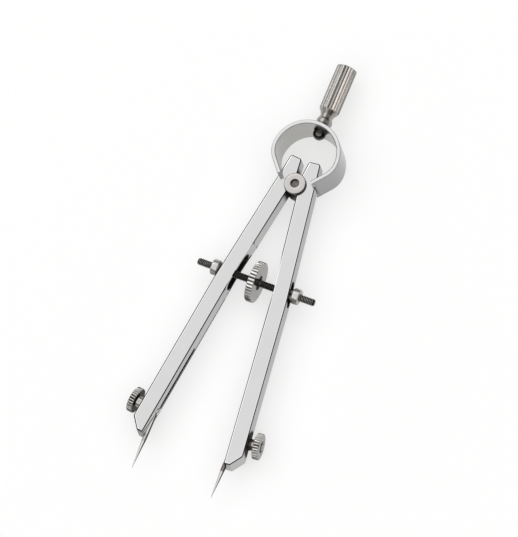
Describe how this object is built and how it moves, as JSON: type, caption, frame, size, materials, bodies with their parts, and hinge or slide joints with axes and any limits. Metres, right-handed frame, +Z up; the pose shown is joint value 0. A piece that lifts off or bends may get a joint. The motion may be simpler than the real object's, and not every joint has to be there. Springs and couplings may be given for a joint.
{
  "type": "spring bow compass",
  "caption": "Spring bow compass with a ring spring, knurled handle, threaded spindle with adjusting wheel, and legs that each clamp a needle.",
  "frame": {"origin": "on the surface under the middle of the lying compass", "axes": "+X across the legs along the spindle, +Y from the needles to the handle, +Z up out of the legs' front faces"},
  "size_m": [0.0432, 0.1386, 0.0128],
  "materials": {
    "chrome": "polished chrome plate on the legs",
    "spring_chrome": "chrome plate, satin at the ring's inner side",
    "satin_nickel": "satin nickel plate",
    "bright_nickel": "bright nickel plate",
    "black_steel": "blackened steel thread",
    "polished_steel": "bare polished steel"
  },
  "bodies": {
    "head": {"bow_spring": "spring_chrome", "handle": "satin_nickel", "handle_screw": "polished_steel", "pivot_roller": "satin_nickel"},
    "spindle": {"spindle": "black_steel", "adjusting_wheel": "bright_nickel"},
    "right_nut": {"right_nut": "bright_nickel"},
    "left_nut": {"left_nut": "bright_nickel"},
    "right_leg": {"right_leg": "chrome"},
    "left_leg": {"left_leg": "chrome"},
    "right_clamp_nut": {"right_clamp_nut": "bright_nickel"},
    "left_clamp_nut": {"left_clamp_nut": "bright_nickel"},
    "right_clamp_bolt": {"right_clamp_bolt": "polished_steel"},
    "left_clamp_bolt": {"left_clamp_bolt": "polished_steel"},
    "right_needle": {"right_needle": "polished_steel"},
    "left_needle": {"left_needle": "polished_steel"}
  },
  "joints": [
    {"name": "spindle_spin", "type": "hinge", "parent": "head", "child": "spindle", "pos_m": [0, -0.0036, 0.0064], "axis": [1, 0, 0], "range_deg": [-3018, 3190]},
    {"name": "right_nut_travel", "type": "slide", "parent": "head", "child": "right_nut", "axis": [1, 0, 0], "range_m": [-0.00445, 0.00421]},
    {"name": "right_leg_swing", "type": "hinge", "parent": "head", "child": "right_leg", "pos_m": [0, 0.0283, 0.0064], "axis": [0, 0, 1], "range_deg": [-7.4, 7], "deforming": ["bow_spring"]},
    {"name": "right_clamp_turn", "type": "hinge", "parent": "right_leg", "child": "right_clamp_nut", "pos_m": [0.01239, -0.05091, 0.0055], "axis": [0.9923, 0.1236, 0], "range_deg": [0, 217]},
    {"name": "right_bolt_draw", "type": "slide", "parent": "right_leg", "child": "right_clamp_bolt", "axis": [-0.9923, -0.1236, 0], "range_m": [0, 0.0003]},
    {"name": "right_needle_slide", "type": "slide", "parent": "right_leg", "child": "right_needle", "axis": [0, -1, 0], "range_m": [-0.0015, 0.01]},
    {"name": "left_nut_travel", "type": "slide", "parent": "head", "child": "left_nut", "axis": [-1, 0, 0], "range_m": [-0.00445, 0.00421]},
    {"name": "left_leg_swing", "type": "hinge", "parent": "head", "child": "left_leg", "pos_m": [0, 0.0283, 0.0064], "axis": [0, 0, -1], "range_deg": [-7.42, 7.02], "deforming": ["bow_spring"]},
    {"name": "left_clamp_turn", "type": "hinge", "parent": "left_leg", "child": "left_clamp_nut", "pos_m": [-0.01239, -0.05091, 0.0055], "axis": [-0.9923, 0.1236, 0], "range_deg": [0, 217]},
    {"name": "left_bolt_draw", "type": "slide", "parent": "left_leg", "child": "left_clamp_bolt", "axis": [0.9923, -0.1236, 0], "range_m": [0, 0.0003]},
    {"name": "left_needle_slide", "type": "slide", "parent": "left_leg", "child": "left_needle", "axis": [0, -1, 0], "range_m": [-0.0015, 0.01]}
  ],
  "couplings": [
    {"joint": "spindle_spin", "follows": "right_leg_swing", "ratio": -430.4},
    {"joint": "left_leg_swing", "follows": "right_leg_swing", "ratio": 1},
    {"joint": "right_nut_travel", "follows": "right_leg_swing", "m_per_rad": 0.03425},
    {"joint": "right_clamp_turn", "follows": "right_bolt_draw", "rad_per_m": 12566},
    {"joint": "left_nut_travel", "follows": "right_leg_swing", "m_per_rad": 0.03425},
    {"joint": "left_clamp_turn", "follows": "left_bolt_draw", "rad_per_m": 12566}
  ]
}
